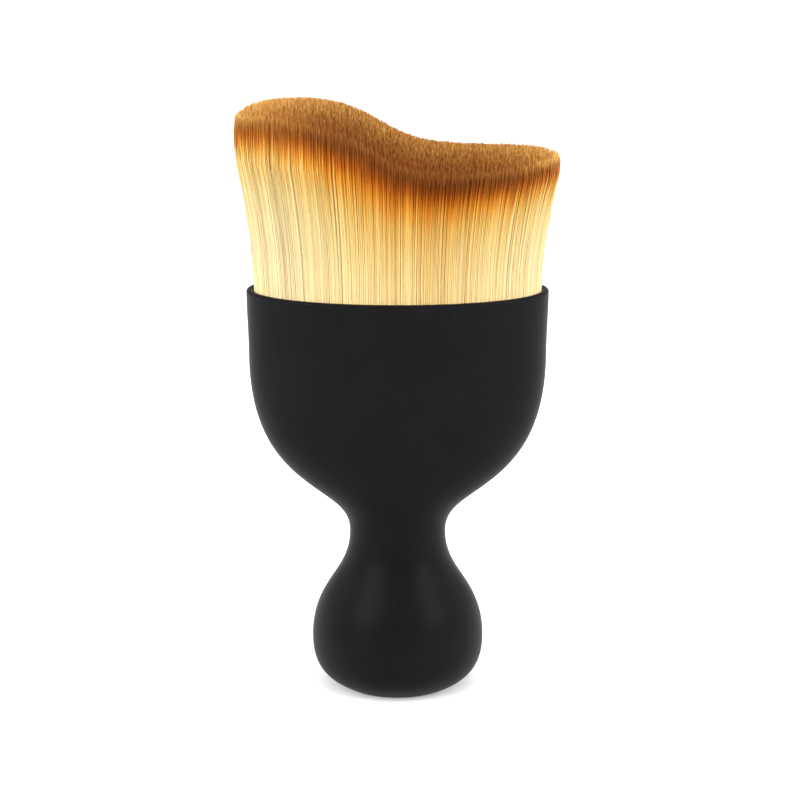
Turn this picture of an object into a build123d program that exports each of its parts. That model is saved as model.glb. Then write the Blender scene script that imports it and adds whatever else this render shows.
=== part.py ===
from build123d import *
from collections import namedtuple
import math
import os

# A standing brush with a goblet-shaped handle and a dense, wave-cut head of fine fibres.
# Millimetres, +Z up. The origin is the middle of the flat base, X runs along the wide side
# of the head and Y through its thin side. Every piece is an oval that changes with height.

# ---- Driving heights, above the surface that the brush stands on ----
HANDLE_HEIGHT = 63.9        # top of the mouth's lip
BULB_HEIGHT = 7.6           # widest ring of the foot
WAIST_HEIGHT = 25.1         # slimmest ring of the stem
STRAIGHT_WALL = 10.4        # nearly straight band of the cup, down from the lip
HAIR_OUT = 21.9             # free length of the hairs at the wave's dip

# ---- Half widths (X) and half depths (Y) of the handle's rings ----
BULB_HALF_WIDTH = 13.4
BULB_HALF_DEPTH = 12.3
WAIST_HALF_WIDTH = 7.45
WAIST_HALF_DEPTH = 6.4
CHEST_HALF_WIDTH = 22.8
CHEST_HALF_DEPTH = 11.2
MOUTH_HALF_WIDTH = 23.05
MOUTH_HALF_DEPTH = 10.8

# ---- How full the oval's corners are: 1 is a true ellipse, more is squarer ----
STEM_FULLNESS = 1.0
MOUTH_FULLNESS = 1.03
HEAD_FULLNESS = 1.1

# ---- Walls, seats and clearances ----
MOUTH_WALL = 1.1            # wall of the cup around the bristle cup
LIP_ROUND = 0.4             # rounding of the lip's two edges
CORE_WALL = 3.2             # wall of the cored cup below the ledge
CORE_FLOOR_ABOVE_WAIST = 10.0
POCKET_DEPTH = 13.0         # from the lip down to the ledge that the bristle cup sits on
CUP_BELOW_LIP = 1.2         # the bristle cup's rim stays out of sight by this much
CUP_WALL = 0.6
RESIN_HEIGHT = 5.0
GLUE_GAP = 0.1              # room for glue around a seated piece
HAIR_GAP = 0.15             # room between the hair and the wall around it

# ---- Foot ----
CAP_RADIUS = 6.4
CAP_THICKNESS = 1.8
CAP_EDGE = 0.3              # rounding around the cap's outer face
CAP_RIM_SIDE = 2.3          # flat of the foot left around the cap, at its sides
CAP_RIM_FRONT = 1.6         # and at its front and back
SLUG_RADIUS = 5.2
SLUG_HEIGHT = 9.0
BASE_ROUND = 0.4

# ---- Head ----
HEAD_HALF_WIDTH = 24.35
HEAD_HALF_DEPTH = 12.1
WAVE_RISE = 7.4             # how far the hump stands above the dip
WAVE_MIDDLE = -2.8          # X where the wave crosses from hump to dip
WAVE_REACH = 6.5            # X distance that softens that crossing
HUMP_END_DROOP = 2.5        # how far the wave drops at the end of its hump
DIP_END_DROOP = 0.9         # and at the end of its dip
DOME_DROP = 2.6             # how far the top falls from its ridge to the head's front and back

# ---- Shape of the outline between two rings, as shares of the stretch between them ----
BULB_PULL = 0.51
WAIST_PULL_BELOW = 0.42
WAIST_PULL_ABOVE = 0.30
CHEST_PULL = 0.79
SIDE_WAIST_PULL = 0.25
SIDE_CHEST_PULL = 0.76
BASE_PULL_OUT = 0.53        # the foot's edge leaves the base flat and turns up
BASE_PULL_UP = 0.17
BULB_PULL_BELOW = 0.65

# ---- Sizes and heights that follow from the above ----
base_half_width = CAP_RADIUS + CAP_RIM_SIDE
base_half_depth = CAP_RADIUS + CAP_RIM_FRONT
chest_height = HANDLE_HEIGHT - STRAIGHT_WALL
ledge_height = HANDLE_HEIGHT - POCKET_DEPTH
core_floor_height = WAIST_HEIGHT + CORE_FLOOR_ABOVE_WAIST
cup_top = HANDLE_HEIGHT - CUP_BELOW_LIP
resin_base = ledge_height + CUP_WALL
resin_top = resin_base + RESIN_HEIGHT
dip_height = HANDLE_HEIGHT + HAIR_OUT
head_top = dip_height + WAVE_RISE
flare_top = dip_height - DIP_END_DROOP - DOME_DROP

# ---- How finely the curved solids are drawn ----
SECTIONS_PER_STRETCH = 8
TOP_COLUMNS = 32
TOP_ROWS = 12
TOP_MARGIN = 1.05           # the cutting surface reaches this far past the head's sides
SPARE_LENGTH = 60           # length of that surface's cutting solid, past all that it cuts

Oval = namedtuple("Oval", "half_width half_depth fullness")
Stretch = namedtuple("Stretch", "high heights sizes")


def bezier(points, share):
    """One coordinate of a cubic Bezier curve, at share 0 to 1 along it."""
    a, b, c, d = points
    rest = 1 - share
    return rest**3 * a + 3 * rest**2 * share * b + 3 * rest * share**2 * c + share**3 * d


def upright(low, high, low_size, high_size, low_pull, high_pull):
    """A stretch of outline that is upright at both its rings."""
    rise = high - low
    heights = (low, low + low_pull * rise, high - high_pull * rise, high)
    return Stretch(high, heights, (low_size, low_size, high_size, high_size))


def foot_edge(low_size, high_size):
    """The stretch from the base, which it leaves nearly flat, up to the bulb's widest ring."""
    spread = high_size - low_size
    heights = (0, BASE_PULL_UP * BULB_HEIGHT, (1 - BULB_PULL_BELOW) * BULB_HEIGHT, BULB_HEIGHT)
    sizes = (low_size, low_size + BASE_PULL_OUT * spread, high_size, high_size)
    return Stretch(BULB_HEIGHT, heights, sizes)


def outline(base, bulb, waist, chest, mouth, waist_pull, chest_pull):
    """The handle's outline in one direction, from the base up to the lip."""
    return [
        foot_edge(base, bulb),
        upright(BULB_HEIGHT, WAIST_HEIGHT, bulb, waist, BULB_PULL, WAIST_PULL_BELOW),
        upright(WAIST_HEIGHT, chest_height, waist, chest, waist_pull, chest_pull),
        upright(chest_height, HANDLE_HEIGHT, chest, mouth, 1 / 3, 1 / 3),
    ]


FRONT = outline(base_half_width, BULB_HALF_WIDTH, WAIST_HALF_WIDTH, CHEST_HALF_WIDTH,
                MOUTH_HALF_WIDTH, WAIST_PULL_ABOVE, CHEST_PULL)
SIDE = outline(base_half_depth, BULB_HALF_DEPTH, WAIST_HALF_DEPTH, CHEST_HALF_DEPTH,
               MOUTH_HALF_DEPTH, SIDE_WAIST_PULL, SIDE_CHEST_PULL)


def size_at(stretches, height):
    """The outline's half size at a height, by halving the stretch that holds it."""
    stretch = next((s for s in stretches if height <= s.high), stretches[-1])
    low, high = 0.0, 1.0
    for _ in range(40):
        middle = (low + high) / 2
        if bezier(stretch.heights, middle) < height:
            low = middle
        else:
            high = middle
    return bezier(stretch.sizes, (low + high) / 2)


def handle_oval(height, inset=0.0):
    """The handle's outer oval at a height, drawn in by an inset."""
    above_waist = max(0.0, height - WAIST_HEIGHT) / (HANDLE_HEIGHT - WAIST_HEIGHT)
    fullness = STEM_FULLNESS + (MOUTH_FULLNESS - STEM_FULLNESS) * above_waist
    return Oval(size_at(FRONT, height) - inset, size_at(SIDE, height) - inset, fullness)


def oval_wire(oval, height):
    """A closed oval of four rational quadratic arcs, flat at one height."""
    a, b = oval.half_width, oval.half_depth
    weight = oval.fullness * math.sqrt(0.5)
    corners = [(a, b), (-a, b), (-a, -b), (a, -b)]
    sides = [(a, 0), (0, b), (-a, 0), (0, -b), (a, 0)]
    arcs = []
    for start, corner, end in zip(sides, corners, sides[1:]):
        points = [(*point, height) for point in (start, corner, end)]
        arcs.append(Bezier(*points, weights=(1, weight, 1)))
    return Wire(arcs)


def stack(heights, oval_of):
    """A solid lofted through the ovals that oval_of gives at the heights."""
    return Solid.make_loft([oval_wire(oval_of(height), height) for height in heights])


def spread(low, high, count=SECTIONS_PER_STRETCH):
    """Evenly spaced values from low to high, with both ends, in so many steps."""
    return [low + (high - low) * index / count for index in range(count + 1)]


def handle_heights():
    """Section heights of the handle's outside, closer together where it curves most."""
    shares = [index / SECTIONS_PER_STRETCH for index in range(1, SECTIONS_PER_STRETCH + 1)]
    return [0.0] + [bezier(stretch.heights, share) for stretch in FRONT for share in shares]


def flat_edges(solid, height):
    """The solid's edges that lie flat at a height."""
    def lies_there(edge):
        box = edge.bounding_box()
        return box.size.Z < 1e-3 and abs(box.center().Z - height) < 1e-3
    return solid.edges().filter_by(lies_there)


def disc(radius, low, high):
    """An upright cylinder on the brush's axis between two heights."""
    return Pos(0, 0, low) * Cylinder(radius, high - low, align=(Align.CENTER, Align.CENTER, Align.MIN))


def handle_shell():
    """The moulded cup, stem and foot, cored from both ends."""
    body = stack(handle_heights(), handle_oval)
    body = body.fillet(BASE_ROUND, flat_edges(body, 0))
    pocket = stack(spread(ledge_height, HANDLE_HEIGHT), lambda z: handle_oval(z, MOUTH_WALL))
    core = stack(spread(core_floor_height, ledge_height), lambda z: handle_oval(z, CORE_WALL))
    recess = disc(CAP_RADIUS + GLUE_GAP, 0, CAP_THICKNESS)
    slug_hole = disc(SLUG_RADIUS + GLUE_GAP, CAP_THICKNESS, CAP_THICKNESS + SLUG_HEIGHT + GLUE_GAP)
    body = body - pocket - core - recess - slug_hole
    solid = body.solids()[0]
    return solid.fillet(min(LIP_ROUND, 0.4 * MOUTH_WALL), flat_edges(solid, HANDLE_HEIGHT))


def bristle_cup():
    """The thin drawn cup that holds the potted roots, seated on the handle's ledge."""
    outer_inset = MOUTH_WALL + GLUE_GAP
    inner_inset = outer_inset + CUP_WALL
    outer = stack(spread(ledge_height, cup_top), lambda z: handle_oval(z, outer_inset))
    inner = stack(spread(resin_base, cup_top), lambda z: handle_oval(z, inner_inset))
    return outer - inner


def resin_block():
    """The hardened resin that the roots are potted in, on the bristle cup's floor."""
    inset = MOUTH_WALL + GLUE_GAP + CUP_WALL + HAIR_GAP
    return stack(spread(resin_base, resin_top), lambda z: handle_oval(z, inset))


def mix(start, end, share):
    """The oval that lies at a share of the way from one oval to another."""
    return Oval(*[low + (high - low) * share for low, high in zip(start, end)])


def hair_oval(height):
    """The bundle's oval at a height: inside the bristle cup, through the mouth, then opening."""
    mouth = handle_oval(HANDLE_HEIGHT, MOUTH_WALL + HAIR_GAP)
    if height <= HANDLE_HEIGHT:
        cup = handle_oval(height, MOUTH_WALL + GLUE_GAP + CUP_WALL + HAIR_GAP)
        return mix(cup, mouth, max(0.0, height - cup_top) / CUP_BELOW_LIP)
    share = min(1.0, (height - HANDLE_HEIGHT) / (flare_top - HANDLE_HEIGHT))
    return mix(mouth, Oval(HEAD_HALF_WIDTH, HEAD_HALF_DEPTH, HEAD_FULLNESS), share ** 2)


def top_height(x, y):
    """Height of the wave-cut top: a hump that steps down to a dip, domed from front to back."""
    step = (1 - math.tanh((x - WAVE_MIDDLE) / WAVE_REACH)) / 2
    end_droop = HUMP_END_DROOP if x < 0 else DIP_END_DROOP
    droop = end_droop * abs(x / HEAD_HALF_WIDTH) ** 7
    dome = DOME_DROP * (y / HEAD_HALF_DEPTH) ** 2
    return dip_height + WAVE_RISE * step - droop - dome


def bristle_bundle():
    """The whole head of hair as one closed solid, from the resin to the wave-cut top."""
    heights = [*spread(resin_top, cup_top), HANDLE_HEIGHT]
    heights += spread(HANDLE_HEIGHT, flare_top)[1:]
    heights += spread(flare_top, head_top + 1)[1:]
    column = stack(heights, hair_oval)
    xs = spread(-TOP_MARGIN * HEAD_HALF_WIDTH, TOP_MARGIN * HEAD_HALF_WIDTH, TOP_COLUMNS)
    ys = spread(-TOP_MARGIN * HEAD_HALF_DEPTH, TOP_MARGIN * HEAD_HALF_DEPTH, TOP_ROWS)
    top = Face.make_surface_from_array_of_points(
        [[Vector(x, y, top_height(x, y)) for x in xs] for y in ys]
    )
    below = Solid.extrude(top, Vector(0, 0, -SPARE_LENGTH))
    return (column & below).solids()[0]


def ballast_slug():
    """The plain steel slug in the foot that keeps the tall brush upright."""
    return disc(SLUG_RADIUS, CAP_THICKNESS, CAP_THICKNESS + SLUG_HEIGHT)


def base_cap():
    """The pressed-in disc that closes the foot, flush with the base."""
    cap = disc(CAP_RADIUS, 0, CAP_THICKNESS)
    return cap.fillet(CAP_EDGE, cap.edges().filter_by(GeomType.CIRCLE).sort_by(Axis.Z)[:1])


PIECES = [handle_shell, bristle_cup, resin_block, bristle_bundle, ballast_slug, base_cap]

if __name__ == "__main__":
    os.makedirs("parts", exist_ok=True)
    for make in PIECES:
        export_step(make(), f"parts/{make.__name__}.step")
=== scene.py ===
"""Looks of a standing body brush: a goblet-shaped soft-touch handle and a wave-cut head of hair.

Every length in the classes is in millimetres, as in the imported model, and MM turns it to metres.
The brush stands on z = 0 with x along the wide side of the head and y through its thin side.
"""
import logging
import math
from dataclasses import dataclass, field
from enum import Enum

import bpy
import numpy as np
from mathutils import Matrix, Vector


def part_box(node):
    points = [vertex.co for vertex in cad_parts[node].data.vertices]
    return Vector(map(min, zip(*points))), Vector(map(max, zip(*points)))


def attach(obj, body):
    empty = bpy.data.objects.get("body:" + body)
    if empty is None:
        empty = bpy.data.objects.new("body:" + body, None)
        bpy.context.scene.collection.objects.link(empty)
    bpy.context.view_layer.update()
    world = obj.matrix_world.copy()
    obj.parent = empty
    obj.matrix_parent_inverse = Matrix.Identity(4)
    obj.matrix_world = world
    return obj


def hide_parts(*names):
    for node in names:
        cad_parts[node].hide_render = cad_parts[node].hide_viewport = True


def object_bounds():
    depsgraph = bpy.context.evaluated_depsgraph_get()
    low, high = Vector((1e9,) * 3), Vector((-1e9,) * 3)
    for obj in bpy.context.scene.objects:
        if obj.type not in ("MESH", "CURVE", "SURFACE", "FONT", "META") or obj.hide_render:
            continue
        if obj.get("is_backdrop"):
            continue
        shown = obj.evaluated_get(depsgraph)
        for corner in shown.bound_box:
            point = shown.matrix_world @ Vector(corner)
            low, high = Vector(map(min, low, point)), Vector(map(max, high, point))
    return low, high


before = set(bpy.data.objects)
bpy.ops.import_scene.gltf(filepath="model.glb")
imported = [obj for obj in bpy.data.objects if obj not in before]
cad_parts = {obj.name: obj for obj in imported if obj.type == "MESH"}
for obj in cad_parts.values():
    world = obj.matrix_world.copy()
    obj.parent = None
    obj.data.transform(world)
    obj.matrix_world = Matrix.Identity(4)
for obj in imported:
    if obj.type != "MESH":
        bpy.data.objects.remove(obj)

log = logging.getLogger("brush")

MM = 0.001
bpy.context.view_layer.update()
BODY = "root"
SEED = 20
TUBE_SIDES = 3
DYE_SPAN = 40.0             # mm of hair, back from its tip, that the whole UV height stands for
DYE_STEPS = 8               # how many strengths of dye the UV width holds side by side
TINT_STEPS = 8              # how many tints there are within each of them
UV_EDGE = 0.004             # height kept free at the UV map's top and bottom
STRIP_EDGE = 0.1            # share of a tint's strip kept free on each side of it
CAP_CORNERS = np.array([(0.2, 0.0), (1.5, 0.002), (2.8, 0.0)])  # a hair end, in sides and UV height


# ---------------------------------------------------------------- colours and nodes

def linear(colour: str) -> tuple[float, float, float, float]:
    """Turns an sRGB hex colour into the linear RGBA that shaders read.

    Args:
        colour: The colour as "#rrggbb".

    Returns:
        Linear red, green, blue and an alpha of 1.
    """
    parts = [int(colour[place:place + 2], 16) / 255 for place in (1, 3, 5)]
    turned = [part / 12.92 if part <= 0.04045 else ((part + 0.055) / 1.055) ** 2.4
              for part in parts]
    return (*turned, 1.0)


def add_node(tree: bpy.types.NodeTree, kind: str, settings: dict | None = None,
             links: dict | None = None) -> bpy.types.Node:
    """Adds one node with its settings and its incoming links.

    Args:
        tree: The node tree that gets the node.
        kind: The node's Blender type name.
        settings: Values by property name or, where there is none, by input socket name or number.
        links: Output sockets by the input socket name or number that each one feeds.

    Returns:
        The new node.
    """
    node = tree.nodes.new(kind)
    for name, value in (settings or {}).items():
        if isinstance(name, str) and hasattr(node, name):
            setattr(node, name, value)
        else:
            node.inputs[name].default_value = value
    feed(tree, node, links or {})
    return node


def fill_ramp(node: bpy.types.Node, stops: list[tuple[float, str]]) -> None:
    """Sets a colour ramp's stops, each a place from 0 to 1 and a hex colour."""
    elements = node.color_ramp.elements
    while len(elements) > 1:
        elements.remove(elements[-1])
    elements[0].position = stops[0][0]
    elements[0].color = linear(stops[0][1])
    for place, colour in stops[1:]:
        elements.new(place).color = linear(colour)


def feed(tree: bpy.types.NodeTree, node: bpy.types.Node, links: dict) -> None:
    """Links output sockets to a node, each by the name or number of the input that it feeds."""
    for name, socket in links.items():
        tree.links.new(socket, node.inputs[name])


def new_material(name: str, settings: dict | None = None) -> tuple[
        bpy.types.Material, bpy.types.NodeTree, bpy.types.Node]:
    """Starts a node material.

    Args:
        name: The material's name.
        settings: The shader's constant values by input socket name.

    Returns:
        The material, its node tree and its Principled shader, which feeds the output.
    """
    material = bpy.data.materials.new(name)
    material.use_nodes = True
    tree = material.node_tree
    tree.nodes.clear()
    shader = add_node(tree, "ShaderNodeBsdfPrincipled", settings)
    add_node(tree, "ShaderNodeOutputMaterial", links={"Surface": shader.outputs["BSDF"]})
    return material, tree, shader


# ---------------------------------------------------------------- finishes

@dataclass(frozen=True)
class SoftTouchPaint:
    """Soft-touch polyurethane paint, sprayed on moulded ABS.

    It gives a deep matt black that barely mirrors anything, with a wide soft gleam, a very fine
    orange-peel from spraying and a faint unevenness where hands and dust have touched it.
    """

    name: str = "soft_touch_black_paint"
    colour: str = "#08080a"
    worn: str = "#0c0c0e"
    dust: str = "#3a3b3c"
    roughness: float = 0.45
    unevenness: float = 0.05    # how far handling moves the roughness either way
    specular: float = 0.075     # the matting agents leave almost no mirror
    peel_mm: float = 0.35       # spacing of the orange-peel, drawn coarser than the real 0.15 mm
    peel_depth_mm: float = 0.02
    patch_mm: float = 9.0       # size of the handled patches
    speck_mm: float = 1.1       # spacing of the places where a dust speck may lie
    speck_size: tuple[float, float] = (0.05, 0.11)  # its solid middle and its edge, in spacings
    speck_cover: float = 0.5    # how much of the paint it hides
    speck_luck: tuple[float, float] = (0.62, 0.70)  # noise from which one starts to show, and does

    def material(self) -> bpy.types.Material:
        """Builds the paint."""
        material, tree, shader = new_material(self.name, {"Specular IOR Level": self.specular})
        place = add_node(tree, "ShaderNodeTexCoord").outputs["Object"]
        patches = add_node(tree, "ShaderNodeTexNoise",
                           {"Scale": 1 / (self.patch_mm * MM), "Detail": 4.0, "Roughness": 0.6},
                           {"Vector": place})
        base = add_node(tree, "ShaderNodeValToRGB", links={"Fac": patches.outputs["Fac"]})
        fill_ramp(base, [(0.35, self.colour), (0.75, self.worn)])
        specks = add_node(tree, "ShaderNodeTexVoronoi", {"Scale": 1 / (self.speck_mm * MM)},
                          {"Vector": place})
        rare = add_node(tree, "ShaderNodeTexNoise", {"Scale": 1 / (3 * self.speck_mm * MM)},
                        {"Vector": place})
        near = add_node(tree, "ShaderNodeMapRange",
                        {"From Min": self.speck_size[0], "From Max": self.speck_size[1],
                         "To Min": self.speck_cover, "To Max": 0.0},
                        {"Value": specks.outputs["Distance"]})
        seldom = add_node(tree, "ShaderNodeMapRange",
                          {"From Min": self.speck_luck[0], "From Max": self.speck_luck[1]},
                          {"Value": rare.outputs["Fac"]})
        amount = add_node(tree, "ShaderNodeMath", {"operation": "MULTIPLY"},
                          {0: near.outputs["Result"], 1: seldom.outputs["Result"]})
        mixed = add_node(tree, "ShaderNodeMix", {"data_type": "RGBA", 7: linear(self.dust)},
                         {0: amount.outputs["Value"], 6: base.outputs["Color"]})
        rough = add_node(tree, "ShaderNodeMapRange",
                         {"To Min": self.roughness + self.unevenness,
                          "To Max": self.roughness - self.unevenness},
                         {"Value": patches.outputs["Fac"]})
        peel = add_node(tree, "ShaderNodeTexNoise",
                        {"Scale": 1 / (self.peel_mm * MM), "Detail": 2.0}, {"Vector": place})
        bump = add_node(tree, "ShaderNodeBump",
                        {"Strength": 0.12, "Distance": self.peel_depth_mm * MM},
                        {"Height": peel.outputs["Fac"]})
        feed(tree, shader, {"Base Color": mixed.outputs[2], "Roughness": rough.outputs["Result"],
                            "Normal": bump.outputs["Normal"]})
        return material


@dataclass(frozen=True)
class MouldedABS:
    """Black ABS straight from a spark-eroded mould: satin, with a fine even grain."""

    name: str = "moulded_black_abs"
    colour: str = "#161617"
    light: str = "#222223"
    grain_mm: float = 0.3       # drawn coarser than the real 0.1 mm
    grain_depth_mm: float = 0.03
    roughness: float = 0.55

    def material(self) -> bpy.types.Material:
        """Builds the plastic."""
        material, tree, shader = new_material(self.name, {"Roughness": self.roughness})
        place = add_node(tree, "ShaderNodeTexCoord").outputs["Object"]
        grain = add_node(tree, "ShaderNodeTexNoise",
                         {"Scale": 1 / (self.grain_mm * MM), "Detail": 3.0}, {"Vector": place})
        base = add_node(tree, "ShaderNodeValToRGB", links={"Fac": grain.outputs["Fac"]})
        fill_ramp(base, [(0.3, self.colour), (0.8, self.light)])
        bump = add_node(tree, "ShaderNodeBump",
                        {"Strength": 0.35, "Distance": self.grain_depth_mm * MM},
                        {"Height": grain.outputs["Fac"]})
        feed(tree, shader, {"Base Color": base.outputs["Color"], "Normal": bump.outputs["Normal"]})
        return material


@dataclass(frozen=True)
class DrawnMetal:
    """Bare metal with fine lines along the way it was drawn or turned, soft and slightly uneven."""

    name: str
    colour: str
    dull: str
    roughness: float
    stretch: tuple[float, float, float]
    unevenness: float = 0.08    # how far the lines move the roughness either way
    line_mm: float = 0.15       # spacing of the lines
    line_depth_mm: float = 0.01

    def material(self) -> bpy.types.Material:
        """Builds the metal."""
        material, tree, shader = new_material(self.name, {"Metallic": 1.0})
        place = add_node(tree, "ShaderNodeTexCoord").outputs["Object"]
        turned = add_node(tree, "ShaderNodeMapping", {"Scale": self.stretch}, {"Vector": place})
        lines = add_node(tree, "ShaderNodeTexNoise",
                         {"Scale": 1 / (self.line_mm * MM), "Detail": 3.0},
                         {"Vector": turned.outputs["Vector"]})
        base = add_node(tree, "ShaderNodeValToRGB", links={"Fac": lines.outputs["Fac"]})
        fill_ramp(base, [(0.3, self.dull), (0.7, self.colour)])
        rough = add_node(tree, "ShaderNodeMapRange",
                         {"To Min": self.roughness - self.unevenness,
                          "To Max": self.roughness + self.unevenness},
                         {"Value": lines.outputs["Fac"]})
        bump = add_node(tree, "ShaderNodeBump",
                        {"Strength": 0.2, "Distance": self.line_depth_mm * MM},
                        {"Height": lines.outputs["Fac"]})
        feed(tree, shader, {"Base Color": base.outputs["Color"],
                            "Roughness": rough.outputs["Result"],
                            "Normal": bump.outputs["Normal"]})
        return material


@dataclass(frozen=True)
class CuredResin:
    """Cured epoxy, poured around the roots: glossy amber with cloudy depth and small bubbles."""

    name: str = "cured_amber_epoxy"
    colour: str = "#8a6428"
    cloudy: str = "#c39a55"
    roughness: float = 0.18
    cloud_mm: float = 2.5
    bubble_mm: float = 0.8
    bubble_depth_mm: float = 0.1

    def material(self) -> bpy.types.Material:
        """Builds the resin."""
        material, tree, shader = new_material(self.name, {"Roughness": self.roughness})
        place = add_node(tree, "ShaderNodeTexCoord").outputs["Object"]
        clouds = add_node(tree, "ShaderNodeTexNoise",
                          {"Scale": 1 / (self.cloud_mm * MM), "Detail": 5.0}, {"Vector": place})
        base = add_node(tree, "ShaderNodeValToRGB", links={"Fac": clouds.outputs["Fac"]})
        fill_ramp(base, [(0.35, self.colour), (0.7, self.cloudy)])
        bubbles = add_node(tree, "ShaderNodeTexVoronoi", {"Scale": 1 / (self.bubble_mm * MM)},
                           {"Vector": place})
        bump = add_node(tree, "ShaderNodeBump",
                        {"Strength": 0.3, "Distance": self.bubble_depth_mm * MM},
                        {"Height": bubbles.outputs["Distance"]})
        feed(tree, shader, {"Base Color": base.outputs["Color"], "Normal": bump.outputs["Normal"]})
        return material


@dataclass(frozen=True)
class DyedFilament:
    """Tapered polyester filament, extruded honey-blond and dip-dyed brown at its tips.

    It gives smooth strands with a faint gloss. The UV map's height runs along each hair, so the
    dye follows it: DYE_SPAN back from the tip is the bottom of the map. The map's width holds
    DYE_STEPS strips, from a thin amber dye to the full brown, and each strip holds TINT_STEPS
    tints of the filament itself, from amber to cream.
    """

    name: str = "dip_dyed_polyester_filament"
    roughness: float = 0.50
    specular: float = 0.12      # low, as hairs drawn thicker than real ones mirror more
    # distance back from the tip in mm, and the colour there
    full_dye: tuple[tuple[float, str], ...] = (
        (0.0, "#c6a664"), (0.35, "#a27a3b"), (0.75, "#865c26"), (1.2, "#764a1d"), (1.8, "#704115"),
        (2.8, "#7d4312"), (4.0, "#a25410"), (5.0, "#bc7418"), (6.4, "#d09434"), (8.5, "#d5b161"),
        (12.0, "#d9c386"), (18.0, "#dac999"), (28.0, "#d9c89c"),
    )
    thin_dye: tuple[tuple[float, str], ...] = (
        (0.0, "#c6a869"), (0.8, "#a67a3c"), (1.8, "#a66424"), (3.0, "#b0621c"), (4.2, "#be7c2e"),
        (5.5, "#ce9c48"), (8.0, "#d5b570"), (12.0, "#dac58d"), (18.0, "#dccb9c"), (28.0, "#dbca9f"),
    )
    tints: tuple[tuple[float, str], ...] = (
        (0.0, "#cfa468"), (0.25, "#edd2a6"), (0.5, "#fcf1e0"), (0.75, "#fff9f0"), (1.0, "#ffffff"),
    )

    def material(self) -> bpy.types.Material:
        """Builds the filament from the hair's own UV map."""
        material, tree, shader = new_material(
            self.name, {"Roughness": self.roughness, "Specular IOR Level": self.specular})
        place = add_node(tree, "ShaderNodeUVMap", {"uv_map": "OFBake"})
        split = add_node(tree, "ShaderNodeSeparateXYZ", links={"Vector": place.outputs["UV"]})
        strips = add_node(tree, "ShaderNodeMath", {"operation": "MULTIPLY", 1: DYE_STEPS},
                          {0: split.outputs["X"]})
        strip = add_node(tree, "ShaderNodeMath", {"operation": "FLOOR"},
                         {0: strips.outputs["Value"]})
        strength = add_node(tree, "ShaderNodeMath", {"operation": "DIVIDE", 1: DYE_STEPS - 1},
                            {0: strip.outputs["Value"]})
        within = add_node(tree, "ShaderNodeMath", {"operation": "FRACT"},
                          {0: strips.outputs["Value"]})
        ramps = []
        for dye in (self.thin_dye, self.full_dye):
            ramp = add_node(tree, "ShaderNodeValToRGB", links={"Fac": split.outputs["Y"]})
            fill_ramp(ramp, [(1 - back / DYE_SPAN, colour) for back, colour in reversed(dye)])
            ramps.append(ramp.outputs["Color"])
        dyed = add_node(tree, "ShaderNodeMix", {"data_type": "RGBA"},
                        {0: strength.outputs["Value"], 6: ramps[0], 7: ramps[1]})
        tint = add_node(tree, "ShaderNodeValToRGB", links={"Fac": within.outputs["Value"]})
        fill_ramp(tint, list(self.tints))
        mixed = add_node(tree, "ShaderNodeMix",
                         {"data_type": "RGBA", "blend_type": "MULTIPLY", 0: 1.0},
                         {6: dyed.outputs[2], 7: tint.outputs["Color"]})
        feed(tree, shader, {"Base Color": mixed.outputs[2]})
        return material


@dataclass(frozen=True)
class StudioPaper:
    """Seamless white studio paper, which glows a little more away from the brush, to stay white."""

    name: str = "white_studio_paper"
    colour: str = "#b4b6b8"
    light: str = "#b9babb"
    cloud_mm: float = 25.0      # size of the faint clouds in the paper
    glow: float = 0.25          # under the brush
    far_glow: float = 0.95      # and from far_mm away
    near_mm: float = 50.0
    far_mm: float = 500.0

    def material(self) -> bpy.types.Material:
        """Builds the paper."""
        material, tree, shader = new_material(
            self.name, {"Roughness": 1.0, "Specular IOR Level": 0.0,
                        "Emission Color": linear("#ffffff")})
        place = add_node(tree, "ShaderNodeTexCoord").outputs["Object"]
        clouds = add_node(tree, "ShaderNodeTexNoise",
                          {"Scale": 1 / (self.cloud_mm * MM), "Detail": 2.0}, {"Vector": place})
        base = add_node(tree, "ShaderNodeValToRGB", links={"Fac": clouds.outputs["Fac"]})
        fill_ramp(base, [(0.0, self.colour), (1.0, self.light)])
        away = add_node(tree, "ShaderNodeVectorMath", {"operation": "LENGTH"}, {0: place})
        glow = add_node(tree, "ShaderNodeMapRange",
                        {"From Min": self.near_mm * MM, "From Max": self.far_mm * MM,
                         "To Min": self.glow, "To Max": self.far_glow},
                        {"Value": away.outputs["Value"]})
        feed(tree, shader, {"Base Color": base.outputs["Color"],
                            "Emission Strength": glow.outputs["Result"]})
        return material


# ---------------------------------------------------------------- mesh helpers

def mesh_object(name: str, points: np.ndarray, faces: np.ndarray, sizes: np.ndarray,
                material: bpy.types.Material) -> bpy.types.Object:
    """Puts whole arrays into a new smooth mesh and links its object at the origin.

    Args:
        name: The piece's name.
        points: Vertex places in metres, one row each.
        faces: Vertex numbers of all faces, end to end.
        sizes: Number of corners of each face, in the same order.
        material: The piece's finish.

    Returns:
        The new object.
    """
    mesh = bpy.data.meshes.new(name)
    mesh.vertices.add(len(points))
    mesh.vertices.foreach_set("co", points.astype(np.float32).ravel())
    mesh.loops.add(len(faces))
    mesh.loops.foreach_set("vertex_index", faces.astype(np.int32))
    mesh.polygons.add(len(sizes))
    starts = np.concatenate([[0], np.cumsum(sizes)[:-1]])
    mesh.polygons.foreach_set("loop_start", starts.astype(np.int32))
    mesh.polygons.foreach_set("use_smooth", np.ones(len(sizes), bool))
    mesh.update(calc_edges=True)
    mesh.materials.append(material)
    piece = bpy.data.objects.new(name, mesh)
    bpy.context.scene.collection.objects.link(piece)
    return piece


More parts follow.
